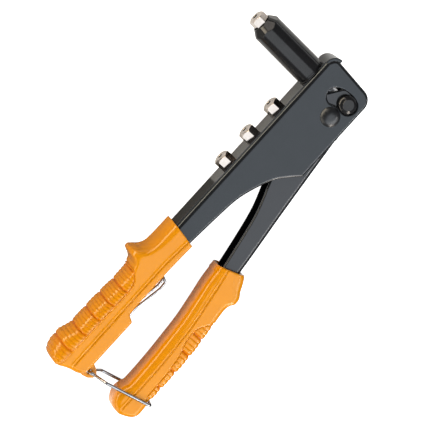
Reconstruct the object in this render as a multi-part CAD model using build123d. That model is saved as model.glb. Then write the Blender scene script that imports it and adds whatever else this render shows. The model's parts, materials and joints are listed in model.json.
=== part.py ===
from build123d import *
import os
from math import cos, radians, sin, sqrt, tan

os.makedirs("parts", exist_ok=True)

# Hand riveter, lying on its side. Lengths are millimetres.
# Body frame: x along the spine towards the head, y towards the nose, z across the tool,
# origin at the handle pivot, z = 0 on the middle plane. Everything drawn in it is turned
# by BARREL_LEAN at the end, which leaves the barrel exactly along +Y.

BARREL_LEAN = 2.0          # the barrel leans forward from square to the spine, degrees
GAP = 0.3                  # room between neighbours that move past each other

# body channel
BODY_HALF = 10.4           # half of the outside width
BODY_SHEET = 2.2
SPINE_Y = 26.0             # outer face of the web
BODY_FOLD = 3.0            # outside bend radius
BODY_RIM = 1.5             # rounding of the side plates' pressed rims
BODY_BOTTOM = -13.3
BODY_TAIL = -200.0
HEAD_X = 23.6              # the spine's straight line ends here
HEAD_CORNER_R = 8.5
CROWN_R = 8.2
HOOK_RADIUS = 7.4          # the web curls down over the head end
PORT_GAP = 0.4             # room round a spare nosepiece's stem in the web

# pivot and drive pin
PIVOT_R = 3.2
PIVOT_HEAD_R = 6.5
PIVOT_HEAD_H = 2.6
ORBIT_R = 13.3             # drive pin's distance from the pivot
PIN_REST = -13.1           # drive pin's angle with the handles latched, body frame
CLOSE_PLAY = 4.0           # extra squeeze past the latched position, degrees
OPEN_TRAVEL = 40.0         # opening from the latched position, degrees
PIN_R = 3.0
ROLLER_R = 5.2
PIN_HEAD_R = 5.9
PIN_TOP_R = 3.6
PIN_HEAD_H = 2.3
SLOT_HALF = 5.55
SLEEVE_R = 4.2
RUNNING_FIT = 0.05         # between a pin and what turns on it

# lever channel
LEVER_HALF = 7.9
LEVER_SHEET = 2.0
LEVER_FOLD = 2.0
LEVER_RIM = 1.2
LEVER_WEB_END = -6.0       # the web stops here, and the cheeks go on round the pivot

# barrel, square to the X axis of the finished part
BARREL_X = 11.6
BARREL_R = 9.5
BARREL_BORE = 7.3
BARREL_FOOT = 26.6         # where the barrel stands on the spine
CONE_START = 67.8
BARREL_TIP = 71.8
TIP_R = 6.7
SPIGOT_R = 6.9
COLLAR_R = 9.8
NUT_LENGTH = 22.0
NUT_DEPTH = 4.8

# nosepieces
NOSE_FLATS = 10.0
NOSE_HEAD = 7.0
NOSE_SEAT = 70.8           # bottom of the counterbore in the barrel's tip
STEM_R = 4.0
STEM_LENGTH = 9.0
THREAD_GAP = 0.1
FITTED_BORE = 1.5
SPARE_BORES = (0.85, 1.05, 1.3)
SPARE_X = (-64.6, -42.0, -19.4)
SPARE_TURN = (50.0, 40.0, 46.0)
FITTED_TURN = -14.0
BUSH_R = 6.4
BUSH_DEPTH = 6.0

# draw mechanism inside the barrel
CASE_R = 6.9
CASE_FOOT = 34.0
CASE_FRONT = 52.4
ROD_R = 4.2
ROD_TOP = 37.0             # the rod is screwed into the jaw case up to here
JAW_CONE = 9.0             # half angle of the jaw case's inner cone
JAW_TIP_Y = 54.2
JAW_LENGTH = 12.0
JAW_FRONT_R = 3.6
BLOCK_HALF = 5.2           # the slide's block, between the lever's cheeks
BLOCK_SIZE = (11.4, 10.6)
SLOT_LENGTH = 8.4          # across the tool, for the pin's swing
TEETH = 6
TOOTH_PITCH = 1.6
MANDREL_R = 0.9
PUSHER_R = 4.6

# grips
UPPER_HALF = 13.9
LOWER_HALF = 11.6

# latch bail and clip
WIRE_R = 0.95
EYE = (-220.5, 1.7)        # centre of the eye under the upper grip's tail
BAIL_BAR = (-210.7, -40.6)
BAIL_HALF = 12.85
BAIL_FLARE = 0.1           # the legs reach their full width this far along
EYE_HALF = 3.0
CLIP_HALF = 4.0
CLIP_WIRE_R = 0.8
CLIP_ROOT = (-178.7, 7.6)  # the clip's ends turn inwards here, inside the grip


def span(face, low, high):
    """A flat outline thickened from z = low to z = high."""
    return Pos(0, 0, low) * extrude(face, high - low)


def wide(face, half):
    """A flat outline thickened equally to both sides of the middle plane."""
    return span(face, -half, half)


def rod(radius, low, high, x=0.0, y=0.0):
    """A round bar along z."""
    return Pos(x, y, (low + high) / 2) * Cylinder(radius, high - low)


def upright(radius, low, high, x=0.0, z=0.0):
    """A round bar along y."""
    bar = Rot(90, 0, 0) * Cylinder(radius, high - low)
    return Pos(x, (low + high) / 2, z) * bar


def on_orbit(angle, radius=ORBIT_R):
    return radius * cos(radians(angle)), radius * sin(radians(angle))


def body_outline():
    """Side view of the body channel, with its tail that the upper grip covers."""
    top = Line((BODY_TAIL, SPINE_Y), (HEAD_X, SPINE_Y))
    crown = RadiusArc((HEAD_X, SPINE_Y), (29.3, 20.5), CROWN_R)
    head = FilletPolyline(
        (29.3, 20.5), (25.9, BODY_BOTTOM), (-39.3, BODY_BOTTOM), radius=HEAD_CORNER_R)
    flank = Spline(
        (-39.3, BODY_BOTTOM), (-46.5, -6.4), (-53.6, -0.8), (-66.2, 4.7),
        (-78.7, 8.2), (-96.0, 9.9), (-117.0, 11.4))
    tail = Polyline((-117.0, 11.4), (BODY_TAIL, 13.4), (BODY_TAIL, SPINE_Y))
    return make_face([top, crown, head, flank, tail])


def long_edges(shape, y, half):
    """Edges of a channel's web that run along x at height y."""
    return [e for e in shape.edges().filter_by(Axis.X)
            if abs(e.center().Y - y) < 0.05 and abs(abs(e.center().Z) - half) < 0.05]


def rims(shape, half):
    """Edges that lie in a block's two outer faces."""
    return [e for e in shape.edges()
            if all(abs(abs((e @ t).Z) - half) < 0.05 for t in (0, 0.5, 1))]


def arc_slot():
    """The drive pin's slot, an arc round the pivot."""
    first = PIN_REST - CLOSE_PLAY - 0.5
    last = PIN_REST + OPEN_TRAVEL + 1.4
    return SlotArc(CenterArc((0, 0), ORBIT_R, first, last - first), 2 * SLOT_HALF)


def hook():
    """The end of the web, curled down over the head end of the side plates."""
    centre = (HEAD_X, SPINE_Y - HOOK_RADIUS)
    outer = CenterArc(centre, HOOK_RADIUS, 0, 90)
    inner = CenterArc(centre, HOOK_RADIUS - BODY_SHEET, 0, 90)
    ends = [Line(outer @ 0, inner @ 0), Line(outer @ 1, inner @ 1)]
    return wide(make_face([outer, inner] + ends), BODY_HALF - 0.6)


def body_block():
    """The body's outer form, filled."""
    block = wide(body_outline(), BODY_HALF)
    block = fillet(long_edges(block, SPINE_Y, BODY_HALF), BODY_FOLD)
    below = [e for e in rims(block, BODY_HALF)
             if e.center().Y < SPINE_Y - 1.5 * BODY_FOLD and e.center().X > BODY_TAIL + 1]
    return fillet(below, BODY_RIM)


def body_channel():
    inside = BODY_HALF - BODY_SHEET
    hollow = Box(400, 200, 2 * inside)
    channel = body_block() - Pos(-80, SPINE_Y - BODY_SHEET - 100, 0) * hollow
    channel += hook()
    channel -= wide(arc_slot(), BODY_HALF + 1)
    channel -= rod(PIVOT_R, -20, 20)
    for x in SPARE_X:
        channel -= upright(STEM_R + PORT_GAP, 20, 30, x)
    return channel - from_nose(upright(SPIGOT_R, 18, 34, BARREL_X))


def to_nose(shape):
    """Turn a body-frame shape into the finished part's directions."""
    return Rot(0, 0, BARREL_LEAN) * shape


def from_nose(shape):
    return Rot(0, 0, -BARREL_LEAN) * shape


def pivot_rivet():
    """Shank through both side plates, with a domed head on each."""
    dome_r = (PIVOT_HEAD_R ** 2 + PIVOT_HEAD_H ** 2) / (2 * PIVOT_HEAD_H)
    shape = rod(PIVOT_R, -BODY_HALF, BODY_HALF)
    for side in (1, -1):
        low, high = sorted((side * BODY_HALF, side * (BODY_HALF + PIVOT_HEAD_H)))
        blank = rod(PIVOT_HEAD_R, low, high)
        ball = Pos(0, 0, side * (BODY_HALF + PIVOT_HEAD_H - dome_r)) * Sphere(dome_r)
        shape += blank & ball
    return shape


def pivot_sleeve():
    """Spacer on the rivet that keeps the lever's cheeks apart."""
    half = LEVER_HALF - LEVER_SHEET - 0.1
    bore = rod(PIVOT_R + RUNNING_FIT, -half - 1, half + 1)
    return rod(SLEEVE_R, -half, half) - bore


def lever_outline():
    """Side view of the lever, from its head round the pivot to its tail in the grip."""
    crest = Spline(
        (-190, -25.6), (-158, -22.2), (-130, -18.3), (-101, -13.3), (-76, -7.9),
        (-57, -1.0), (-38, 5.4), (-10, 10.2))
    nose = Polyline((-10, 10.2), (8, 12.2), (18.4, 5.0), (21.6, -1.0), (21.0, -8.0),
                    (15.5, -12.0), (-9.4, -14.0))
    sole = Spline((-9.4, -14.0), (-63.4, -20.3), (-111.3, -26.5), (-190, -34.6))
    tail = Line((-190, -34.6), (-190, -25.6))
    return make_face([crest, nose, sole, tail])


def lever_block():
    """The lever's outer form, filled."""
    block = wide(lever_outline(), LEVER_HALF)
    folds = [e for e in block.edges() if e.length > 150 and e.center().Y < -18
             and abs(abs(e.center().Z) - LEVER_HALF) < 0.05]
    block = fillet(folds, LEVER_FOLD)
    return fillet(rims(block, LEVER_HALF), LEVER_RIM)


def lever_channel():
    """Two cheeks joined by a web along the outer side."""
    inside = LEVER_HALF - LEVER_SHEET
    floor = Spline((-9.4, -12.0), (-63.4, -18.3), (-111.3, -24.5), (-195, -33.1))
    hollow = make_face([floor, Polyline((-195, -33.1), (-195, 40), (40, 40), (40, -40),
                                        (LEVER_WEB_END, -40), (-9.4, -12.0))])
    channel = lever_block() - wide(hollow, inside)
    channel -= rod(PIVOT_R + 0.06, -20, 20)
    x, y = on_orbit(PIN_REST)
    return channel - rod(PIN_R, -20, 20, x, y)


def drive_pin():
    """Pin through both cheeks, with a stepped button head outside each side plate."""
    x, y = on_orbit(PIN_REST)
    seat = BODY_HALF + 0.2
    shape = rod(PIN_R, -seat, seat)
    button = Pos(0, 0, seat + PIN_HEAD_H / 2) * Cone(PIN_HEAD_R, PIN_TOP_R, PIN_HEAD_H)
    flange = rod(PIN_HEAD_R, seat, seat + 0.4)
    head = button + flange
    return Pos(x, y, 0) * (shape + head + Rot(180, 0, 0) * head)


def pin_rollers():
    """A roller on each side, which runs in the side plate's slot."""
    x, y = on_orbit(PIN_REST)
    ring = rod(ROLLER_R, LEVER_HALF + 0.1, BODY_HALF + 0.1)
    ring -= rod(PIN_R + RUNNING_FIT, 0, 20)
    return Pos(x, y, 0) * Compound([ring, Rot(180, 0, 0) * ring])


def barrel():
    """Round tube with a cone at its tip and a spigot through the spine at its foot."""
    shape = upright(BARREL_R, BARREL_FOOT + 1.6, CONE_START)
    shape += upright(BARREL_R - 0.5, BARREL_FOOT + 0.4, BARREL_FOOT + 1.6)
    cone = Rot(-90, 0, 0) * Cone(BARREL_R, TIP_R, BARREL_TIP - CONE_START)
    shape += Pos(0, (CONE_START + BARREL_TIP) / 2, 0) * cone
    shape += upright(SPIGOT_R, 18.5, BARREL_FOOT + 1)
    shape -= upright(ROD_R + 0.8, 10, 40)
    shape -= upright(BARREL_BORE, 28.6, 63.4)
    shape -= upright(STEM_R + THREAD_GAP, 60, 80)
    shape -= upright(NOSE_FLATS / sqrt(3) + 0.35, NOSE_SEAT, 80)
    return Pos(BARREL_X, 0, 0) * shape


def barrel_collar():
    """Thin seating ring between the barrel and the sloping spine."""
    ring = upright(COLLAR_R, 20, BARREL_FOOT + 0.4, BARREL_X)
    ring -= upright(SPIGOT_R, 10, 40, BARREL_X)
    below = Pos(0, SPINE_Y - 50, 0) * Box(200, 100, 100)
    return ring - to_nose(below)


def barrel_nut():
    """Plate nut under the spine that clamps the barrel."""
    top = SPINE_Y - BODY_SHEET
    width = 2 * (BODY_HALF - BODY_SHEET) - 0.4
    plate = Pos(BARREL_X + 0.9, top - NUT_DEPTH / 2, 0) * Box(NUT_LENGTH, NUT_DEPTH, width)
    return to_nose(plate) - upright(SPIGOT_R, 10, 40, BARREL_X)


def nosepiece(bore):
    """Hexagonal head with a plain stem for its thread, head's seat at y = 0."""
    flats = extrude(RegularPolygon(NOSE_FLATS / 2, 6, major_radius=False), NOSE_HEAD)
    crown = Pos(0, 0, NOSE_HEAD - 0.75) * Cone(NOSE_FLATS / sqrt(3) + 0.1, 4.2, 1.5)
    skirt = rod(NOSE_FLATS / sqrt(3) + 0.2, -1, NOSE_HEAD - 1.5)
    head = flats & (skirt + crown)
    shape = head + rod(STEM_R, -STEM_LENGTH, 0)
    shape -= rod(bore, -20, 20)
    mouth = Pos(0, 0, -STEM_LENGTH + 1.0) * Cone(2.8, bore, 2.0)
    return Rot(-90, 0, 0) * (shape - mouth)


def fitted_nosepiece():
    return Pos(BARREL_X, NOSE_SEAT, 0) * Rot(0, FITTED_TURN, 0) * nosepiece(FITTED_BORE)


def spare_nosepiece(number):
    turned = Rot(0, SPARE_TURN[number], 0) * nosepiece(SPARE_BORES[number])
    return Pos(SPARE_X[number], SPINE_Y, 0) * turned


def storage_bushes():
    """Threaded bushes under the spine that hold the spare nosepieces."""
    top = SPINE_Y - BODY_SHEET
    rings = [upright(BUSH_R, top - BUSH_DEPTH, top, x)
             - upright(STEM_R + THREAD_GAP, 0, 40, x) for x in SPARE_X]
    return Compound(rings)


def draw_slide():
    """Block with a cross slot for the drive pin, and the rod that pulls the jaw case."""
    slot_x, y = on_orbit(PIN_REST + BARREL_LEAN)
    slot_x -= 0.6
    block = Pos(slot_x, y, 0) * Box(*BLOCK_SIZE, 2 * BLOCK_HALF)
    shape = block + upright(ROD_R, y, ROD_TOP, BARREL_X)
    window = Pos(slot_x, y, 0) * Box(SLOT_LENGTH, 2 * (PIN_R + GAP), 40)
    shape -= window
    return shape - upright(2.6, y + 8, 60, BARREL_X)


def cone_core(tip_y, length, tip_r, extra=0.0):
    """Cone round the barrel's axis, narrow towards the nose."""
    back_r = tip_r + length * tan(radians(JAW_CONE))
    core = Rot(-90, 0, 0) * Cone(back_r + extra, tip_r + extra, length)
    return Pos(BARREL_X, tip_y - length / 2, 0) * core


def jaw_case():
    """Sleeve with an inner cone that squeezes the jaws as it is drawn back."""
    shape = upright(CASE_R, CASE_FOOT, CASE_FRONT, BARREL_X)
    shape -= cone_core(JAW_TIP_Y, JAW_LENGTH + 2.4, JAW_FRONT_R, 0.35)
    shape -= upright(6.0, ROD_TOP, JAW_TIP_Y - JAW_LENGTH - 2.0, BARREL_X)
    return shape - upright(ROD_R, 20, ROD_TOP, BARREL_X)


def jaw(number):
    """One of three jaws: a third of a cone, toothed along the mandrel."""
    whole = cone_core(JAW_TIP_Y, JAW_LENGTH, JAW_FRONT_R)
    whole -= upright(MANDREL_R, 20, 80, BARREL_X)
    for i in range(TEETH):
        y = JAW_TIP_Y - 1.5 - i * TOOTH_PITCH
        whole -= upright(MANDREL_R + 0.35, y - 0.4, y + 0.4, BARREL_X)
    wedge = make_face(Polyline((0.35, 0), (20, 34.03), (20, -34.03), (0.35, 0)))
    third = Rot(90, 0, 0) * wide(wedge, 100)
    return whole & (Pos(BARREL_X, 0, 0) * Rot(0, 120 * number, 0) * third)


def jaw_pusher():
    """Hollow follower behind the jaws."""
    foot = JAW_TIP_Y - JAW_LENGTH
    shape = upright(PUSHER_R, foot - 1.4, foot, BARREL_X) + upright(2.2, foot - 6, foot, BARREL_X)
    return shape - upright(1.5, 0, 80, BARREL_X)


def coil(radius, wire, low, high, turns):
    """Coil spring along z between two heights, ends left open."""
    length = high - low - 2 * wire
    path = Helix(length / turns, length, radius)
    section = Plane(origin=path @ 0, z_dir=path % 0) * Circle(wire)
    return Pos(0, 0, low + wire) * sweep(section, path, is_frenet=True)


def return_spring():
    """Pushes the jaw case forward as the handles open."""
    shape = coil(5.75, 0.5, 28.8, CASE_FOOT - 0.2, 4)
    return Pos(BARREL_X, 0, 0) * (Rot(-90, 0, 0) * shape)


def jaw_spring():
    """Keeps the jaws against their cone."""
    shape = coil(3.6, 0.4, ROD_TOP + 0.1, JAW_TIP_Y - JAW_LENGTH - 1.5, 3)
    return Pos(BARREL_X, 0, 0) * (Rot(-90, 0, 0) * shape)


def handle_spring():
    """Torsion spring round the pivot sleeve that opens the handles."""
    return coil(5.2, 0.6, -5.2, 5.2, 5)


def upper_grip():
    """Plastic moulded round the body's tail, with a horn and an eye for the bail."""
    back = Spline(
        (-228.8, 12.0), (-229.8, 22.0), (-227.0, 29.2), (-218.0, 32.2), (-205.0, 30.0),
        (-185.0, 29.5), (-166.0, 28.7), (-153.0, 29.4))
    horn = Spline((-153.0, 29.4), (-149.0, 32.0), (-145.2, 37.1), (-141.4, 33.8),
                  (-136.5, 29.9), (-130.0, 29.2))
    under = Polyline((-130.0, 29.2), (-114.9, 29.0), (-118.6, 9.6), (-175.8, 9.9),
                     (-178.9, 5.1), (-223.0, 5.1), (-227.0, 8.0), (-228.8, 12.0))
    shape = wide(make_face([back, horn, under]), UPPER_HALF)
    lug = make_face(FilletPolyline(
        (-226.0, 8.0), (-224.6, -3.4), (-216.2, -3.4), (-213.6, 8.0), (-226.0, 8.0),
        radius=3.6, close=False))
    shape += wide(lug, EYE_HALF)
    shape -= rod(WIRE_R + 0.4, -20, 20, *EYE)
    shape -= body_channel()
    room = 2 * (CLIP_WIRE_R + GAP)
    return shape - Pos(*CLIP_ROOT, 0) * Box(9.0, room, 2 * CLIP_HALF + room)


def lower_grip():
    """Plastic moulded round the lever, with a guard for the fingers at its mouth."""
    palm = Spline(
        (-226.9, -27.0), (-223.0, -21.8), (-217.0, -20.4), (-206.0, -22.4),
        (-190.0, -22.0), (-174.0, -21.2), (-158.0, -19.2), (-140.0, -16.1), (-116.5, -12.5))
    mouth = Line((-116.5, -12.5), (-111.0, -28.6))
    fingers = Spline(
        (-111.0, -28.6), (-126.3, -37.8), (-136.0, -34.8), (-147.0, -36.8),
        (-170.0, -39.2), (-190.0, -39.6), (-212.0, -39.3), (-222.5, -38.4), (-226.9, -33.5))
    end = Line((-226.9, -33.5), (-226.9, -27.0))
    return wide(make_face([palm, mouth, fingers, end]), LOWER_HALF) - lever_channel()


def wire(points, bend, radius):
    """Round wire along straight runs joined by bends."""
    path = FilletPolyline(*points, radius=bend)
    section = Plane(origin=path @ 0, z_dir=path % 0) * Circle(radius)
    return sweep(section, path)


def latch_bail():
    """Wire loop, hung in the eye, whose bar holds the lower grip."""
    ax, ay = EYE
    bx, by = BAIL_BAR
    kx, ky = ax + BAIL_FLARE * (bx - ax), ay + BAIL_FLARE * (by - ay)
    half = [(ax, ay, 0.4), (ax, ay, 5.2), (kx, ky, BAIL_HALF), (bx, by, BAIL_HALF)]
    other = [(x, y, -z) for x, y, z in reversed(half)]
    return wire(half + other, 2.2, WIRE_R)


def grip_clip():
    """Sprung wire loop under the upper grip that holds the bail when it is folded away."""
    side = [(*CLIP_ROOT, 0.5), (*CLIP_ROOT, CLIP_HALF), (-171.8, 7.9, CLIP_HALF),
            (-151.5, 4.4, CLIP_HALF), (-146.4, 4.7, CLIP_HALF), (-144.9, 8.0, CLIP_HALF)]
    other = [(x, y, -z) for x, y, z in reversed(side)]
    return wire(side + other, 1.5, CLIP_WIRE_R)


def pieces():
    """Every piece by name, turned so that the barrel is along +Y."""
    body_frame = {
        "body_channel": body_channel(),
        "pivot_rivet": pivot_rivet(),
        "pivot_sleeve": pivot_sleeve(),
        "storage_bushes": storage_bushes(),
        "upper_grip": upper_grip(),
        "grip_clip": grip_clip(),
        "handle_spring": handle_spring(),
        "lever_channel": lever_channel(),
        "lower_grip": lower_grip(),
        "drive_pin": drive_pin(),
        "pin_rollers": pin_rollers(),
        "latch_bail": latch_bail(),
    }
    for i in range(3):
        body_frame[f"spare_nosepiece_{i + 1}"] = spare_nosepiece(i)
    made = {name: to_nose(shape) for name, shape in body_frame.items()}
    made["barrel"] = barrel()
    made["barrel_collar"] = barrel_collar()
    made["barrel_nut"] = barrel_nut()
    made["fitted_nosepiece"] = fitted_nosepiece()
    made["draw_slide"] = draw_slide()
    made["jaw_case"] = jaw_case()
    made["jaw_pusher"] = jaw_pusher()
    made["return_spring"] = return_spring()
    made["jaw_spring"] = jaw_spring()
    for i in range(3):
        made[f"jaw_{i + 1}"] = jaw(i)
    return made


def origin_of(made):
    """Bottom centre of the box round all the pieces."""
    box = Compound(list(made.values())).bounding_box()
    centre = box.center()
    return Vector(centre.X, centre.Y, box.min.Z)


MADE = pieces()
ORIGIN = origin_of(MADE)
for name, shape in MADE.items():
    export_step(Pos(-ORIGIN.X, -ORIGIN.Y, -ORIGIN.Z) * shape, f"parts/{name}.step")
print("pivot is at", [round(-c, 3) for c in (ORIGIN.X, ORIGIN.Y, ORIGIN.Z)])
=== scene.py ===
import json
from math import atan2, ceil, cos, hypot, pi, radians, sin, sqrt, tan

import bmesh
import bpy
import numpy as np
from mathutils import Matrix, Vector
from mathutils.geometry import tessellate_polygon

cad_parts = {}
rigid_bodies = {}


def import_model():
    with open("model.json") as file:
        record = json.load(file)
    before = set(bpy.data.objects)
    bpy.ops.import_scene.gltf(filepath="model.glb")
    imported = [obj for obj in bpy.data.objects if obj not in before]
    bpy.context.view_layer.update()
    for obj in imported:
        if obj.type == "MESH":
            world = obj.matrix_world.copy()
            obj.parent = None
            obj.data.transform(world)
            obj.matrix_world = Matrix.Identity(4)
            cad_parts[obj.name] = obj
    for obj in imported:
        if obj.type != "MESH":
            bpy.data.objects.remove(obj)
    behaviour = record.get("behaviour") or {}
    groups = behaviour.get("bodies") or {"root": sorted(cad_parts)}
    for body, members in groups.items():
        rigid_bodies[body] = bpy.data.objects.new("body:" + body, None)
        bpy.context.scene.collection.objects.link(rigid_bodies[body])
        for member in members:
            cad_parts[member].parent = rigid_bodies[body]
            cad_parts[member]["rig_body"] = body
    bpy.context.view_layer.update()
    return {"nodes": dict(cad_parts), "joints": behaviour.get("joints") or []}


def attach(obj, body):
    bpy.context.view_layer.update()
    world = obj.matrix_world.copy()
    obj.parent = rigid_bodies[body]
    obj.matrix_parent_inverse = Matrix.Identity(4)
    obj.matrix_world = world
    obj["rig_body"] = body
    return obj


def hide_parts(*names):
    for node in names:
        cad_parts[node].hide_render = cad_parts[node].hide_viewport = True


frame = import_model()

# Pieces are drawn in millimetres in the part's own frames and turned into the row frame.
# Body frame: x along the spine towards the head, y towards the nose, z across, origin at
# the handle pivot. The nose frame has the same origin, with y along the barrel.
MM = 0.001
LEAN = radians(2.0)
PIVOT = Vector(next(j for j in frame["joints"] if j["name"] == "lever_pivot")["pos_m"])
NOSE = Matrix.Translation(PIVOT) @ Matrix.Scale(MM, 4)
BODY = Matrix.Translation(PIVOT) @ Matrix.Rotation(LEAN, 4, "Z") @ Matrix.Scale(MM, 4)

# body and lever
BODY_HALF = 10.4
BODY_SHEET = 2.2
HOOK_R = 7.4
SLOT_HALF = 5.55
LEVER_HALF = 7.9
LEVER_SHEET = 2.0
SPINE_Y = 26.0
ORBIT_R = 13.3
PIN_REST = radians(-13.1)
PIN = (ORBIT_R * cos(PIN_REST), ORBIT_R * sin(PIN_REST))
PIVOT_HEAD_R = 6.5
PIVOT_HEAD_H = 2.6

# barrel and nosepieces
BARREL_X = 11.6
BARREL_R = 9.7
BARREL_FOOT = 26.6
CONE_START = 67.8
BARREL_TIP = 71.8
TIP_R = 6.7
NOSE_SEAT = 70.8
NOSE_FLATS = 10.0
NOSE_HEAD = 7.0
STEM_R = 4.0
STEM_LENGTH = 9.0
FITTED_BORE = 1.5
SPARE_X = (-64.6, -42.0, -19.4)
SPARE_BORES = (0.85, 1.05, 1.3)
SPARE_TURN = (50.0, 40.0, 46.0)
FITTED_TURN = -14.0

# grips and wires
UPPER_HALF = 13.9
LOWER_HALF = 11.6
EYE = (-220.5, 1.7)
BAIL_BAR = (-210.7, -40.6)
BAIL_HALF = 12.85
WIRE_R = 1.0
CLIP_WIRE_R = 0.9
CLIP_HALF = 4.0
CLIP_ROOT = (-178.7, 7.6)
EYE_HOLE_R = 1.55
LUG_HALF = 3.0
TAIL_R = 4.0               # rounding of a grip's flanks into its tail end
POCKET_DEPTH = 4.0         # how far the steel is seen to go into a grip's mouth

# floor, in metres
FLOOR_HALF = 12.0
SHADE_HEIGHT = 0.0004


# ---------------------------------------------------------------- materials

class Shader:
    """A material's node tree, with short ways to add and join nodes."""

    def __init__(self, name):
        self.material = bpy.data.materials.new(name)
        self.material.use_nodes = True
        self.tree = self.material.node_tree
        self.surface = self.tree.nodes["Principled BSDF"]
        self.place = self.add("ShaderNodeTexCoord").outputs["Object"]

    def add(self, kind, **inputs):
        node = self.tree.nodes.new(kind)
        for name, value in inputs.items():
            self.set(node, name.replace("_", " "), value)
        return node

    def set(self, node, name, value):
        socket = node.inputs[name]
        if isinstance(value, bpy.types.NodeSocket):
            self.tree.links.new(value, socket)
        else:
            socket.default_value = value

    def look(self, **inputs):
        for name, value in inputs.items():
            self.set(self.surface, name.replace("_", " "), value)

    def noise(self, scale, detail=3.0, stretch=None):
        """Noise in object space; scale is features per metre."""
        place = self.place
        if stretch:
            mapping = self.add("ShaderNodeMapping", Vector=place, Scale=stretch)
            place = mapping.outputs["Vector"]
        node = self.add("ShaderNodeTexNoise", Vector=place, Scale=scale, Detail=detail)
        return node.outputs["Fac"]

    def spread(self, value, low, high, from_low=0.3, from_high=0.7):
        node = self.add("ShaderNodeMapRange", Value=value)
        for name, number in (("From Min", from_low), ("From Max", from_high),
                             ("To Min", low), ("To Max", high)):
            node.inputs[name].default_value = number
        return node.outputs["Result"]

    def blend(self, amount, first, second):
        node = self.tree.nodes.new("ShaderNodeMix")
        node.data_type = "RGBA"
        self.set_index(node, 0, amount)
        self.set_index(node, 6, first)
        self.set_index(node, 7, second)
        return node.outputs[2]

    def set_index(self, node, index, value):
        if isinstance(value, bpy.types.NodeSocket):
            self.tree.links.new(value, node.inputs[index])
        else:
            node.inputs[index].default_value = value

    def bump(self, height, depth, strength=1.0, below=None):
        """Surface relief; depth is in metres."""
        node = self.add("ShaderNodeBump", Height=height, Distance=depth, Strength=strength)
        if below is not None:
            self.tree.links.new(below, node.inputs["Normal"])
        return node.outputs["Normal"]

    def attribute(self, name):
        node = self.tree.nodes.new("ShaderNodeAttribute")
        node.attribute_name = name
        return node.outputs["Fac"]


def orange_plastic():
    """Glossy moulded plastic, painted a little darker and duller down in its grooves as
    painted shade.
    """
    s = Shader("orange_plastic")
    cloud = s.spread(s.noise(60), 0.0, 1.0)
    base = s.blend(cloud, (0.515, 0.187, 0.0005, 1), (0.49, 0.175, 0.0005, 1))
    groove_shade = s.attribute("groove_shade")
    # painted shade: the base colour is darkened where the relief lies deep, in grooves and
    # along borders
    color = s.blend(groove_shade, base, (0.46, 0.11, 0.001, 1))
    grain = s.bump(s.noise(2600, 2), 0.00003, 0.05)
    flow = s.bump(s.noise(140, 2), 0.0002, 0.06, grain)
    s.look(Base_Color=color, Roughness=s.spread(s.noise(420), 0.15, 0.21), Normal=flow,
           IOR=1.43, Specular_Tint=(1.0, 0.90, 0.66, 1))
    return s.material


def black_paint(name, index, tint, rough=0.19):
    """Satin black paint over pressed steel."""
    s = Shader(name)
    cloud = s.spread(s.noise(90), 0.0, 1.0)
    color = s.blend(cloud, (0.0050, 0.0055, 0.0065, 1), (0.0065, 0.0070, 0.0085, 1))
    s.look(Base_Color=color, Roughness=s.spread(s.noise(500), rough - 0.03, rough + 0.03),
           IOR=index, Specular_Tint=tint)
    peel = s.bump(s.noise(700, 2), 0.00004, 0.08)
    s.look(Normal=s.bump(s.noise(3500, 2), 0.00001, 0.08, peel))
    return s.material


def black_gloss():
    """Glossy black finish of the barrel and the pin heads."""
    s = Shader("black_gloss")
    cloud = s.spread(s.noise(120), 0.0, 1.0)
    color = s.blend(cloud, (0.006, 0.006, 0.007, 1), (0.009, 0.009, 0.010, 1))
    s.look(Base_Color=color, Roughness=s.spread(s.noise(300), 0.12, 0.18), IOR=1.34,
           Normal=s.bump(s.noise(700, 2), 0.00004, 0.06))
    return s.material


def bright_metal(name, light, dark, rough, grain=(40.0, 1.0, 40.0)):
    """Plated or drawn steel with fine lines and a slightly uneven shine."""
    s = Shader(name)
    cloud = s.spread(s.noise(200), 0.0, 1.0)
    lines = s.noise(90, 3, grain)
    s.look(Base_Color=s.blend(cloud, light, dark), Metallic=1.0,
           Roughness=s.spread(lines, rough - 0.06, rough + 0.08),
           Normal=s.bump(lines, 0.00002, 0.12))
    return s.material


def pale_floor(name, glow, tone=0.86):
    s = Shader(name)
    color = s.blend(s.spread(s.noise(3), 0.0, 1.0), (tone, tone, tone, 1),
                    (tone - 0.02, tone - 0.02, tone - 0.015, 1))
    s.look(Base_Color=color, Roughness=0.85, Specular_IOR_Level=0.1,
           Emission_Color=(1, 1, 1, 1), Emission_Strength=glow)
    return s.material


ORANGE = orange_plastic()
PAINT = black_paint("black_paint", 1.42, (0.88, 0.94, 1.0, 1))
RIVET_PAINT = black_paint("black_paint_rivet", 1.46, (0.95, 0.97, 1.0, 1), 0.34)
LEVER_PAINT = black_paint("black_paint_lever", 1.46, (0.95, 0.96, 1.0, 1))
GLOSS = black_gloss()
NICKEL = bright_metal("nickel", (0.40, 0.36, 0.33, 1), (0.34, 0.30, 0.27, 1), 0.12)
STEEL = bright_metal("plain_steel", (0.46, 0.46, 0.47, 1), (0.36, 0.36, 0.37, 1), 0.34)
SPRING = bright_metal("spring_steel", (0.36, 0.36, 0.37, 1), (0.26, 0.26, 0.27, 1), 0.20)


# ---------------------------------------------------------------- mesh helpers

def smooth_by_angle(mesh, degrees):
    mesh.shade_smooth()
    mesh.set_sharp_from_angle(angle=radians(degrees))


def piece(name, points, faces, to_row, body, material, nodes, angle=32):
    """A mesh in millimetres, put in its place, riding on a body for the CAD nodes named."""
    mesh = bpy.data.meshes.new(name)
    mesh.from_pydata([to_row @ Vector(p) for p in points], [], faces)
    mesh.update()
    return settle(name, mesh, body, material, nodes, angle)


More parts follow.
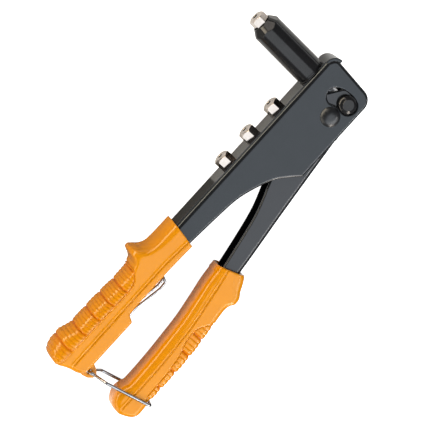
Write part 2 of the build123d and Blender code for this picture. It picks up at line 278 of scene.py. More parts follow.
def settle(name, mesh, body, material, nodes, angle=32):
    tidy = bmesh.new()
    tidy.from_mesh(mesh)
    bmesh.ops.recalc_face_normals(tidy, faces=tidy.faces)
    tidy.to_mesh(mesh)
    tidy.free()
    smooth_by_angle(mesh, angle)
    obj = bpy.data.objects.new(name, mesh)
    bpy.context.scene.collection.objects.link(obj)
    mesh.materials.append(material)
    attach(obj, body)
    if nodes:
        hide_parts(*nodes)
    return obj


def join_rings(rings, cap_first=True, cap_last=True):
    """Faces between closed rings of equal length; a one-point ring is a pole."""
    points, faces, starts = [], [], []
    for ring in rings:
        starts.append(len(points))
        points.extend(ring)
    for i in range(len(rings) - 1):
        a, b, m, n = starts[i], starts[i + 1], len(rings[i]), len(rings[i + 1])
        for j in range(max(m, n)):
            k = (j + 1) % max(m, n)
            if m == 1:
                faces.append((a, b + j, b + k))
            elif n == 1:
                faces.append((a + j, b, a + k))
            else:
                faces.append((a + j, b + j, b + k, a + k))
    if cap_first and len(rings[0]) > 1:
        faces.append(tuple(range(len(rings[0]))))
    if cap_last and len(rings[-1]) > 1:
        faces.append(tuple(starts[-1] + j for j in range(len(rings[-1]))))
    return points, faces


def turned(profile, x, axis="y", z=0.0, y=0.0, steps=128, shape=None, loop=False):
    """Rings of a turned piece. Profile points are (radius, height along the axis)."""
    rings = []
    for r, h in profile + (profile[:1] if loop else []):
        ring = []
        for j in range(steps if r > 0 else 1):
            a = 2 * pi * j / steps
            radius = shape(r, h, a) if shape else r
            if axis == "y":
                ring.append((x + radius * sin(a), h, z + radius * cos(a)))
            else:
                ring.append((x + radius * cos(a), y + radius * sin(a), h))
        rings.append(ring)
    return rings


def rounded(corners, radius, steps=5):
    """Points along a polyline with its inner corners rounded, in 2-D or 3-D."""
    corners = [np.array(c, float) for c in corners]
    radii = radius if isinstance(radius, (list, tuple)) else [radius] * len(corners)
    out = [corners[0]]
    for a, b, c, r in zip(corners, corners[1:], corners[2:], radii[1:]):
        u, v = (a - b) / np.linalg.norm(a - b), (c - b) / np.linalg.norm(c - b)
        angle = np.arccos(np.clip(u @ v, -1, 1))
        if r <= 0 or angle > pi - 0.01:
            out.append(b)
            continue
        cut = r / tan(angle / 2)
        centre = b + (u + v) / np.linalg.norm(u + v) * r / sin(angle / 2)
        start, end = b + u * cut - centre, b + v * cut - centre
        sweep = pi - angle
        for i in range(steps + 1):
            t = i / steps
            out.append(centre + (sin((1 - t) * sweep) * start + sin(t * sweep) * end)
                       / sin(sweep))
    return out + [corners[-1]]


def tube(path, radius, sides=20):
    """Round wire along a list of 3-D points, with slightly rounded ends."""
    path = [np.array(p, float) for p in path]
    path = [p for i, p in enumerate(path) if i == 0 or np.linalg.norm(p - path[i - 1]) > 1e-6]
    tangents = []
    for i in range(len(path)):
        t = path[min(i + 1, len(path) - 1)] - path[max(i - 1, 0)]
        tangents.append(t / np.linalg.norm(t))
    side = np.cross(tangents[0], [0.31, 0.52, 0.79])
    rings = []
    for i, (p, t) in enumerate(zip(path, tangents)):
        side = side - t * (side @ t)
        side /= np.linalg.norm(side)
        other = np.cross(t, side)
        ends = []
        if i == 0:
            ends = [(0.55, -0.5), (0.9, -0.3)]
        loops = ends + [(1.0, 0.0)]
        if i == len(path) - 1:
            loops = [(1.0, 0.0), (0.9, 0.3), (0.55, 0.5)]
        for scale, shift in loops:
            middle = p + t * shift * radius
            rings.append([tuple(middle + radius * scale * (cos(a) * side + sin(a) * other))
                          for a in (2 * pi * j / sides for j in range(sides))])
    return join_rings(rings)


def curve_through(points):
    """Smooth function through (x, y) points that doesn't overshoot between them."""
    x, y = (np.array(v, float) for v in zip(*points))
    h, slope = np.diff(x), np.diff(y) / np.diff(x)
    m = np.zeros(len(x))
    m[0], m[-1] = slope[0], slope[-1]
    same = slope[:-1] * slope[1:] > 0
    with np.errstate(divide="ignore", invalid="ignore"):
        harmonic = 2 * slope[:-1] * slope[1:] / (slope[:-1] + slope[1:])
    m[1:-1] = np.where(same, harmonic, 0)

    def value(at):
        at = np.asarray(at, float)
        i = np.clip(np.searchsorted(x, at) - 1, 0, len(h) - 1)
        t = np.clip((at - x[i]) / h[i], 0, 1)
        return ((1 + 2 * t) * (1 - t) ** 2 * y[i] + t * (1 - t) ** 2 * h[i] * m[i]
                + t * t * (3 - 2 * t) * y[i + 1] + t * t * (t - 1) * h[i] * m[i + 1])
    return value


def dense(points, per_span=10):
    """A smooth line through a few points, as many short straight runs."""
    p = np.array([points[0]] + list(points) + [points[-1]], float)
    out = []
    for i in range(1, len(p) - 2):
        for t in np.linspace(0, 1, per_span, endpoint=False):
            out.append(0.5 * (2 * p[i] + (p[i + 1] - p[i - 1]) * t
                              + (2 * p[i - 1] - 5 * p[i] + 4 * p[i + 1] - p[i + 2]) * t ** 2
                              + (3 * p[i] - p[i - 1] - 3 * p[i + 1] + p[i + 2]) * t ** 3))
    return out + [p[-1]]


def distance_left(line, x, y):
    """Signed distance to a line of points, positive on its left."""
    best, sign = np.full(x.shape, 1e9), np.ones(x.shape)
    for (ax, ay), (bx, by) in zip(line, line[1:]):
        dx, dy = bx - ax, by - ay
        t = np.clip(((x - ax) * dx + (y - ay) * dy) / (dx * dx + dy * dy), 0, 1)
        d = np.hypot(x - ax - t * dx, y - ay - t * dy)
        nearer = d < best - 1e-9
        best = np.where(nearer, d, best)
        sign = np.where(nearer, np.sign(dx * (y - ay) - dy * (x - ax)), sign)
    return best * sign


def step(low, high, value):
    """Smooth rise from 0 at low to 1 at high."""
    t = np.clip((value - low) / (high - low), 0, 1)
    return t * t * (3 - 2 * t)


def hump(value, width):
    return np.exp(-(value / width) ** 2)


# ---------------------------------------------------------------- steel pieces

def from_cad(node, material, width, angle=38):
    """The CAD node's own shape with its sharp edges broken."""
    source = frame["nodes"][node]
    shape = bmesh.new()
    shape.from_mesh(source.data)
    bmesh.ops.remove_doubles(shape, verts=shape.verts, dist=2e-6)
    bmesh.ops.dissolve_limit(shape, angle_limit=radians(0.8), verts=shape.verts,
                             edges=shape.edges)
    mesh = bpy.data.meshes.new(node + "_shell")
    shape.to_mesh(mesh)
    shape.free()
    obj = settle(mesh.name, mesh, source["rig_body"], material, [node], angle)
    bevel = obj.modifiers.new("broken_edges", "BEVEL")
    bevel.width = width * MM
    bevel.segments = 3
    bevel.limit_method = "ANGLE"
    bevel.angle_limit = radians(angle)
    return obj


def arc(centre, radius, start, end, count):
    """Points on an arc, angles in degrees."""
    return [(centre[0] + radius * cos(a), centre[1] + radius * sin(a))
            for a in np.linspace(radians(start), radians(end), count)]


def evened(loop, gap):
    """A closed loop of points with long runs split up and near-doubles dropped."""
    out = []
    for a, b in zip(loop, loop[1:] + loop[:1]):
        a, b = np.array(a[:2], float), np.array(b[:2], float)
        far = np.linalg.norm(b - a)
        if far > 0.02:
            out += [a + (b - a) * t for t in np.linspace(0, 1, ceil(far / gap), False)]
    return np.array(out)


def drawn_in(loop, amount):
    """A counter-clockwise loop moved inwards by amount, a number or one per point."""
    before, after = loop - np.roll(loop, 1, 0), np.roll(loop, -1, 0) - loop
    before /= np.linalg.norm(before, axis=1)[:, None]
    after /= np.linalg.norm(after, axis=1)[:, None]
    normal = np.stack([-before[:, 1] - after[:, 1], before[:, 0] + after[:, 0]], 1)
    normal /= np.linalg.norm(normal, axis=1)[:, None]
    square = -before[:, 1] * normal[:, 0] + before[:, 0] * normal[:, 1]
    reach = np.asarray(amount) / np.maximum(square, 0.5)
    return loop + normal * reach[..., None] if reach.ndim else loop + normal * reach


def sheet_plate(loops, rims, low, high, back=0.15, steps=7):
    """Flat sheet from low to high with its high face's rims rounded. The first loop is
    the outline, counter-clockwise, and the others are holes, clockwise. rims gives each
    loop's rounding, a number or one per point."""
    points, faces, fronts, backs = [], [], [], []
    thick = high - low
    for loop, rim in zip(loops, rims):
        rim = np.broadcast_to(np.asarray(rim, float), (len(loop),))
        rows = [(low, np.full(len(loop), back)), (low + back, np.zeros(len(loop)))]
        for i in range(steps + 1):
            a = (pi / 2) * i / steps
            fall = np.minimum(rim * (1 - sin(a)), thick - back - 0.01)
            draw = rim - np.sqrt(np.maximum(rim ** 2 - (rim - fall) ** 2, 0))
            rows.append((high - fall, draw))
        first = len(points)
        for height, inset in rows:
            height = np.broadcast_to(height, (len(loop),))
            for (x, y), h in zip(drawn_in(loop, inset), height):
                points.append((x, y, float(h)))
        n = len(loop)
        for r in range(len(rows) - 1):
            for j in range(n):
                k = (j + 1) % n
                at = first + r * n
                faces.append((at + j, at + k, at + n + k, at + n + j))
        backs.append(list(range(first, first + n)))
        fronts.append(list(range(first + (len(rows) - 1) * n, first + len(rows) * n)))
    for group in (fronts, backs):
        flat = [i for ring in group for i in ring]
        rings = [[Vector((points[i][0], points[i][1], 0)) for i in ring] for ring in group]
        faces += [tuple(flat[i] for i in t) for t in tessellate_polygon(rings)]
    return points, faces


def add_up(parts):
    """Several (points, faces) as one."""
    points, faces = [], []
    for more, some in parts:
        faces += [tuple(i + len(points) for i in f) for f in some]
        points += more
    return points, faces


def placed(part, move):
    """(points, faces) with every point passed through move."""
    points, faces = part
    return [move(*p) for p in points], faces


def strip(line, inward, half, thick, rim=0.25):
    """Bent sheet along a line of (x, y) points, thick on the inward side (+1 is left)."""
    line = np.array([p[:2] for p in line], float)
    run = np.gradient(line, axis=0)
    run /= np.linalg.norm(run, axis=1)[:, None]
    side = np.stack([-run[:, 1], run[:, 0]], 1) * inward
    section = [(0, half - rim), (rim * 0.3, half - rim * 0.3), (rim, half),
               (thick - rim, half), (thick - rim * 0.3, half - rim * 0.3),
               (thick, half - rim)]
    section += [(d, -z) for d, z in reversed(section)]
    rings = [[(x + sx * d, y + sy * d, z) for d, z in section]
             for (x, y), (sx, sy) in zip(line, side)]
    return join_rings(rings)


def body_channel():
    """Side plates whose rims are rolled over, the web between them and its curled end."""
    flank = dense([(-39.3, -13.6), (-46.5, -6.4), (-53.6, -0.8), (-66.2, 4.7),
                   (-78.7, 8.2), (-96.0, 9.9), (-117.0, 11.4)], 14)
    head = rounded([(29.3, 20.5), (25.9, -13.6), (-39.3, -13.6)], 8.5, 16)
    loop = [(-200.0, SPINE_Y), (-200.0, 13.4)] + [tuple(p) for p in flank[::-1]]
    loop += [tuple(p) for p in head[::-1]][1:]
    loop += arc((21.47, 18.08), 8.2, 17.2, 74.9, 14)[1:]
    loop = evened(loop, 1.2)
    rims = np.interp(loop[:, 1], [20.0, 25.5], [2.1, 3.0])
    rims = np.where(loop[:, 0] < 22, np.where(loop[:, 1] > 25.9, 3.0, 2.1), rims)
    first, last = -17.6, 28.3
    ends = [(ORBIT_R * cos(radians(a)), ORBIT_R * sin(radians(a))) for a in (first, last)]
    slot = arc((0, 0), ORBIT_R + SLOT_HALF, last, first, 22)
    slot += arc(ends[0], SLOT_HALF, first, first - 180, 18)[1:]
    slot += arc((0, 0), ORBIT_R - SLOT_HALF, first, last, 14)[1:]
    slot += arc(ends[1], SLOT_HALF, last + 180, last, 18)[1:-1]
    slot = evened(slot, 0.8)
    plate_part = sheet_plate([loop, slot], [rims, 1.3], BODY_HALF - BODY_SHEET, BODY_HALF)
    web_half = BODY_HALF - BODY_SHEET + 0.06
    web = evened([(-200.0, -web_half), (23.6, -web_half), (23.6, web_half),
                  (-200.0, web_half)], 4)
    holes = [evened(arc((BARREL_X + 0.9, 0), 6.9, 360, 0, 48)[:-1], 1)]
    holes += [evened(arc((x, 0), STEM_R + 0.4, 360, 0, 32)[:-1], 1) for x in SPARE_X]
    web_part = sheet_plate([web] + holes, [0.02, 0.2, 0.2, 0.2, 0.2],
                           SPINE_Y - BODY_SHEET, SPINE_Y)
    hook = strip(arc((23.6, SPINE_Y - HOOK_R), HOOK_R, 92, 0, 20), -1, BODY_HALF - 0.6,
                 BODY_SHEET, 0.5)
    points, faces = add_up([plate_part, placed(plate_part, lambda x, y, z: (x, y, -z)),
                            placed(web_part, lambda x, z, y: (x, y, z)), hook])
    level(piece("body_channel_pressing", points, faces, BODY, "body", PAINT,
                ["body_channel"], 60))


def lever_channel():
    """Two cheeks and the web along their outer side, folded from one sheet."""
    crest = dense([(-190, -25.6), (-158, -22.2), (-130, -18.3), (-101, -13.3), (-76, -7.9),
                   (-57, -1.0), (-38, 5.4), (-10, 10.2)], 10)
    sole = dense([(-9.4, -14.5), (-63.4, -20.9), (-111.3, -27.0), (-190, -34.8)], 24)
    loop = [tuple(p) for p in reversed(sole)]
    loop += rounded([(-9.4, -14.5), (15.5, -12.0), (21.0, -8.0), (21.6, -1.0), (18.4, 5.0),
                     (8, 12.2), (-10, 10.2)], 3.0)[1:-1]
    loop += [tuple(p) for p in reversed(crest)]
    loop = evened(loop, 1.4)
    on_sole = np.interp(loop[:, 0], [-190, -111.3, -63.4, -9.4], [-34.8, -27.0, -20.9, -14.5])
    rims = np.where((loop[:, 1] < on_sole + 1.2) & (loop[:, 0] < -9), 3.2, 1.0)
    cheek = sheet_plate([loop], [rims], LEVER_HALF - LEVER_SHEET, LEVER_HALF)
    web = strip(sole, -1, LEVER_HALF - LEVER_SHEET + 0.1, LEVER_SHEET, 0.05)
    points, faces = add_up([cheek, placed(cheek, lambda x, y, z: (x, y, -z)), web])
    level(piece("lever_channel_pressing", points, faces, BODY, "lever",
                LEVER_PAINT, ["lever_channel"], 60))


def level(obj):
    """Keeps flat faces flat in their shading, next to rounded rims."""
    weighted = obj.modifiers.new("even_shading", "WEIGHTED_NORMAL")
    weighted.keep_sharp = True


def sheet_steel():
    body_channel()
    lever_channel()
    from_cad("barrel_nut", STEEL, 0.4)
    from_cad("draw_slide", STEEL, 0.3)


def dome_rivet():
    """Low domed head on both sides and a shank between them."""
    half = [(3.2, 0.0), (3.2, BODY_HALF), (PIVOT_HEAD_R - 0.25, BODY_HALF),
            (PIVOT_HEAD_R, BODY_HALF + 0.25)]
    low = PIVOT_HEAD_R - 0.15
    for i in range(25):
        r = low * (1 - i / 24)
        rise = 1 - (r / PIVOT_HEAD_R) ** 3.2
        half.append((r, BODY_HALF + 0.25 + (PIVOT_HEAD_H - 0.25) * rise))
    profile = [(r, -h) for r, h in reversed(half[1:])] + half
    points, faces = join_rings(turned(profile, 0.0, "z"))
    piece("pivot_dome_rivet", points, faces, BODY, "body", RIVET_PAINT,
          ["pivot_rivet"])


def pin_button(side):
    """Stepped button head: a flange, a hollow flank and a flat crown."""
    seat = BODY_HALF + 0.2
    flank = [(5.9 - 2.1 * t + 0.25 * sin(pi * t), seat + 0.55 + 1.55 * t)
             for t in (i / 8 for i in range(9))]
    profile = [(3.0, seat), (5.75, seat), (5.9, seat + 0.15), (5.9, seat + 0.4)]
    profile += flank + [(3.6, seat + 2.3), (3.3, seat + 2.32), (0.0, seat + 2.32)]
    return [(r, side * h) for r, h in profile]


def drive_pin():
    low, high = pin_button(-1), pin_button(1)
    points, faces = join_rings(turned(low[::-1] + high, PIN[0], "z", y=PIN[1]))
    piece("drive_pin_buttons", points, faces, BODY, "lever", GLOSS,
          ["drive_pin"])


def rollers():
    points, faces = [], []
    for side in (1, -1):
        low, high = 8.0, BODY_HALF + 0.1
        profile = [(3.05, low), (4.9, low), (5.2, low + 0.3), (5.2, high - 0.3),
                   (4.9, high), (3.05, high)]
        ring_points, ring_faces = join_rings(
            turned([(r, side * h) for r, h in profile], PIN[0], "z", y=PIN[1], loop=True),
            False, False)
        faces += [tuple(i + len(points) for i in f) for f in ring_faces]
        points += ring_points
    piece("pin_roller_pair", points, faces, BODY, "lever", STEEL,
          ["pin_rollers"])


def barrel():
    """Round tube; the wrench flats at its tip run out into the round in U shapes."""
    def flats(r, h, a):
        if h < 60 or r < TIP_R - 0.2:
            return r
        off = (a - radians(14) + radians(30)) % radians(60) - radians(30)
        return min(r, (BARREL_R - 0.62 * (h - 66.6)) / cos(off))

    foot = BARREL_FOOT + 0.4
    profile = [(6.9, 18.6), (6.9, foot), (BARREL_R - 0.6, foot), (BARREL_R - 0.5, foot + 0.2),
               (BARREL_R - 0.5, foot + 1.0), (BARREL_R - 0.2, foot + 1.2),
               (BARREL_R, foot + 1.5)]
    profile += [(BARREL_R, h) for h in np.linspace(30, 61, 8)]
    profile += [(BARREL_R, h) for h in np.linspace(61.2, CONE_START - 0.2, 34)]
    for i in range(29):
        t = i / 28
        profile.append((BARREL_R + (TIP_R + 0.25 - BARREL_R) * t,
                        CONE_START + (BARREL_TIP - 0.25 - CONE_START) * t))
    profile += [(TIP_R + 0.1, BARREL_TIP - 0.05), (TIP_R - 0.1, BARREL_TIP), (6.2, BARREL_TIP),
                (6.1, BARREL_TIP - 0.1), (6.1, NOSE_SEAT), (4.1, NOSE_SEAT), (4.1, 63.4),
                (7.3, 63.4), (7.3, 28.6), (5.0, 28.6), (5.0, 18.6)]
    points, faces = join_rings(turned(profile, BARREL_X, steps=288, shape=flats, loop=True),
                               False, False)
    piece("barrel_tube", points, faces, NOSE, "body", GLOSS, ["barrel"], 24)


def collar():
    """Thin seating ring, wedge-shaped, between the barrel and the spine."""
    rings = []
    for r, part in ((6.95, 0), (9.6, 0), (9.8, 0.25), (9.8, 0.75), (9.6, 1), (6.95, 1),
                    (6.95, 0)):
        ring = []
        for j in range(96):
            a = 2 * pi * j / 96
            x = BARREL_X + r * sin(a)
            floor = x * tan(LEAN) + SPINE_Y / cos(LEAN)
            ring.append((x, floor + (BARREL_FOOT + 0.4 - floor) * part, r * cos(a)))
        rings.append(ring)
    points, faces = join_rings(rings, False, False)
    piece("barrel_seat_ring", points, faces, NOSE, "body", GLOSS,
          ["barrel_collar"])


def nosepiece(name, node, body, to_row, x, seat, bore, turn):
    """Chamfered hexagonal head over a threaded stem, bored through."""
    across = NOSE_FLATS / 2
    crown = NOSE_HEAD - 1.6

    def hexagon(r, h, a):
        if h < seat + 0.001 or r < 4.25:
            return r
        off = (a - radians(turn) + radians(30)) % radians(60) - radians(30)
        return min(r, across / cos(off))

    def thread(r, h, a):
        if h >= seat - 0.8 or r < STEM_R - 0.01:
            return hexagon(r, h, a)
        phase = ((h - seat) / 1.25 + a / (2 * pi)) % 1
        return STEM_R - 0.62 * abs(2 * phase - 1) * min(1, (h - seat + STEM_LENGTH) / 0.8)

    profile = [(bore, seat - STEM_LENGTH + 1.4), (2.6, seat - STEM_LENGTH),
               (3.3, seat - STEM_LENGTH)]
    profile += [(STEM_R, h) for h in np.linspace(seat - STEM_LENGTH + 0.05, seat - 0.8, 64)]
    profile += [(3.4, seat - 0.7), (3.4, seat)]
    profile += [(5.4, seat + 0.02), (5.9, seat + 0.35)]
    profile += [(5.9, seat + h) for h in np.linspace(0.6, crown, 6)]
    for i in range(25):
        t = i / 24
        profile.append((5.9 - 1.55 * t ** 1.4, seat + crown + 1.42 * t))
    mouth = max(bore + 0.3, 1.6)
    profile += [(4.22, seat + NOSE_HEAD - 0.06), (4.0, seat + NOSE_HEAD),
                (mouth + 0.1, seat + NOSE_HEAD), (mouth, seat + NOSE_HEAD - 0.1),
                (bore, seat + NOSE_HEAD - 1.6)]
    points, faces = join_rings(turned(profile, x, steps=180, shape=thread, loop=True),
                               False, False)
    obj = piece(name, points, faces, to_row, body, NICKEL, [node], 22)
    # painted shade: the faces down the bore get black gloss as the shade inside the hole
    obj.data.materials.append(GLOSS)
    for face, corners in zip(obj.data.polygons, faces):
        if all(hypot(points[i][0] - x, points[i][2]) < mouth + 0.05 for i in corners):
            face.material_index = 1


def nosepieces():
    nosepiece("nosepiece_in_use", "fitted_nosepiece", "nosepiece", NOSE, BARREL_X, NOSE_SEAT,
              FITTED_BORE, FITTED_TURN)
    for i, letter in enumerate("abc"):
        nosepiece("spare_nosepiece_" + letter, f"spare_nosepiece_{i + 1}", "spare_" + letter,
                  BODY, SPARE_X[i], SPINE_Y, SPARE_BORES[i], SPARE_TURN[i])


def coil(radius, wire, low, high, turns, along="z", x=0.0):
    """Coil spring with its end turns closed up."""
    count = int(turns * 36)
    path = []
    for i in range(count + 1):
        t = i / count
        rise = t - 0.035 * sin(2 * pi * t)
        a = 2 * pi * turns * t
        h = low + wire + (high - low - 2 * wire) * rise
        if along == "z":
            path.append((x + radius * cos(a), radius * sin(a), h))
        else:
            path.append((x + radius * cos(a), h, radius * sin(a)))
    return tube(path, wire, 14)


def springs():
    specs = (
        ("handle_torsion_coil", "handle_spring", BODY, coil(5.2, 0.6, -5.2, 5.2, 5)),
        ("return_coil", "return_spring", NOSE, coil(5.75, 0.5, 28.8, 33.8, 4, "y", BARREL_X)),
        ("jaw_coil", "jaw_spring", NOSE, coil(3.6, 0.4, 37.1, 40.7, 3, "y", BARREL_X)),
    )
    for name, node, to_row, (points, faces) in specs:
        body = frame["nodes"][node]["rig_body"]
        piece(name, points, faces, to_row, body, SPRING, [node])


# ---------------------------------------------------------------- wires

def bail():
    """Wire loop from the eye round the lower grip, hung slightly askew in its eye."""
    ax, ay = EYE
    bx, by = BAIL_BAR
    half = [(ax, ay, 0.3), (ax, ay, 5.0)]
    half += [(ax + t * (bx - ax), ay + t * (by - ay), z)
             for t, z in ((0.087, 5.2), (0.241, BAIL_HALF), (1.0, BAIL_HALF))]
    other = [(x, y, -z) for x, y, z in reversed(half)]
    askew = [(x - 0.15 * min(z, 0), y, z) for x, y, z in half + other]
    path = rounded(askew, [0, 1.4, 1.6, 2.6, 2.2, 2.2, 2.6, 1.6, 1.4, 0], 10)
    points, faces = tube(path, WIRE_R, 24)
    piece("bail_wire", points, faces, BODY, "latch", SPRING, ["latch_bail"])


def clip():
    """Sprung wire loop that lies under the upper grip, its free end turned up."""
    side = [(*CLIP_ROOT, 0.5), (*CLIP_ROOT, CLIP_HALF), (-171.8, 7.9, CLIP_HALF),
            (-151.5, 4.4, CLIP_HALF), (-146.4, 4.7, CLIP_HALF), (-144.9, 8.0, CLIP_HALF)]
    other = [(x, y, -z) for x, y, z in reversed(side)]
    path = rounded(side + other, 1.5, 10)
    points, faces = tube(path, CLIP_WIRE_R, 20)
    piece("clip_wire", points, faces, BODY, "clip", SPRING, ["grip_clip"])


# ---------------------------------------------------------------- grips

def half_section(bottom, top, shoulder, half, corner, flat_top, power, counts):
    """Right half of a grip's cross-section, from bottom centre round to top centre."""
    n_bottom, n_corner, n_side, n_top, n_flat = counts
    tall = top - bottom
    corner_z, corner_y = corner
    corner_y = min(corner_y, 0.3 * tall)
    shoulder = min(max(shoulder, bottom + corner_y + 0.05 * tall), top - 0.2 * tall)
    z = list(np.linspace(0, half - corner_z, n_bottom, endpoint=False))
    y = [bottom] * n_bottom
    for a in np.linspace(0, pi / 2, n_corner, endpoint=False):
        z.append(half - corner_z + corner_z * sin(a))
        y.append(bottom + corner_y * (1 - cos(a)))
    z += [half] * n_side
    y += list(np.linspace(bottom + corner_y, shoulder, n_side, endpoint=False))
    for a in np.linspace(0, pi / 2, n_top, endpoint=False):
        z.append(flat_top + (half - flat_top) * cos(a) ** (2 / power))
        y.append(shoulder + (top - shoulder) * sin(a) ** (2 / power))
    z += list(np.linspace(flat_top, 0, n_flat))
    y += [top] * n_flat
    return np.array(z), np.array(y)


def full_ring(x, z, y):
    right = list(zip(x, y, z))
    left = [(a, b, -c) for a, b, c in right[-2:0:-1]]
    return [tuple(map(float, p)) for p in right + left]


class Grip:
    """A grip's surface: outlines, width and relief, as functions of x, y and z."""

    def __init__(self, **parts):
        self.__dict__.update(parts)

    def ring(self, x):
        z, y = half_section(float(self.bottom(x)), float(self.top(x)),
                            float(self.shoulder(x)), self.half, self.corner,
                            self.flat_top, self.power, self.counts)
        z = z * self.width(x, y) / self.half
        dz, dy = np.gradient(z), np.gradient(y)
        long = np.hypot(dz, dy) + 1e-9
        depth = self.relief(np.full(z.shape, x), y, z)
        z2, y2 = z + depth * dy / long, y - depth * dz / long
        z2[0] = z2[-1] = 0
        slant = (y2 - self.mouth_y) * self.mouth_slope
        x2 = x + slant * step(self.mouth_x - self.mouth_fade, self.mouth_x, x)
        return full_ring(x2, z2, y2), list(depth) + list(depth[-2:0:-1])

    def mouth_rings(self, last):
        """Rounded rim, then a pocket round the steel that goes in at the mouth."""
        py, pz = self.pocket
        cy = self.pocket_y
        rings = []
        for inset, out in ((0.12, 0.25), (0.4, 0.45), (0.8, 0.5)):
            rings.append([self.inward(p, inset, out) for p in last])
        for x_in in (0.5, 0.3, -POCKET_DEPTH):
            ring = []
            for x, y, z in last:
                a = atan2(z / pz, (y - cy) / py)
                c, s = cos(a), sin(a)
                reach = (abs(c) ** 8 + abs(s) ** 8) ** (-1 / 8)
                grow = 1.02 if x_in > 0.4 else 1.0
                yy, zz = cy + py * c * reach * grow, pz * s * reach * grow
                ring.append((self.mouth_x + (yy - self.mouth_y) * self.mouth_slope + x_in,
                             yy, zz))
            rings.append(ring)
        rings.append([(self.mouth_x - POCKET_DEPTH
                       + (cy - self.mouth_y) * self.mouth_slope, cy, 0.0)])
        return rings

    def inward(self, p, inset, out):
        x, y, z = p
        dy, dz = y - self.pocket_y, z
        far = sqrt(dy * dy + dz * dz)
        return (x + out - dy / far * inset * self.mouth_slope, y - dy / far * inset,
                z - dz / far * inset)

    def build(self, name, body, nodes):
        rings, depths = [], []
        for x in self.stations:
            ring, depth = self.ring(x)
            rings.append(ring)
            depths += depth
        rings += self.mouth_rings(rings[-1])
        points, faces = join_rings(rings, True, False)
        obj = piece(name, points, faces, BODY, body, ORANGE, nodes, 50)
        # painted shade: how deep each point lies in the relief, read by the plastic to darken
        # its grooves
        groove_shade = obj.data.attributes.new("groove_shade", "FLOAT", "POINT")
        values = np.zeros(len(points))
        values[:len(depths)] = np.clip((-np.array(depths) - 0.3) / 0.9, 0, 1)
        groove_shade.data.foreach_set("value", values)


def stations(spans):
    """Cross-section places: (start, end, spacing) runs, joined."""
    out = []
    for start, end, gap in spans:
        out += list(np.linspace(start, end, max(2, ceil(abs(end - start) / gap)),
                                endpoint=False))
    return out + [spans[-1][1]]


def lobes(x, splits, height, rib, per_lobe):
    """Scalloped lobes with fine ribs on them; 0 at a crest, negative in between."""
    depth = np.zeros(x.shape)
    for a, b in zip(splits, splits[1:]):
        p = (x - a) / (b - a)
        inside = (p >= 0) & (p < 1)
        q = np.clip(p, 0, 1)
        crown = 1 - np.abs(2 * q - 1) ** 5
        slope = 0.25 * (1 - q)
        ribs = np.abs(np.sin(pi * per_lobe * q)) ** 0.7
        depth = np.where(inside, height * (crown * (0.75 + slope) - 1) + rib * (ribs - 1),
                         depth)
    return depth


def tail_width(half, inside):
    """Half width of a grip that rounds off towards its tail; inside is the way in from it."""
    near = np.clip(TAIL_R - inside, 0, TAIL_R)
    return half - TAIL_R + np.sqrt(np.clip(TAIL_R ** 2 - near ** 2, 0, TAIL_R ** 2))


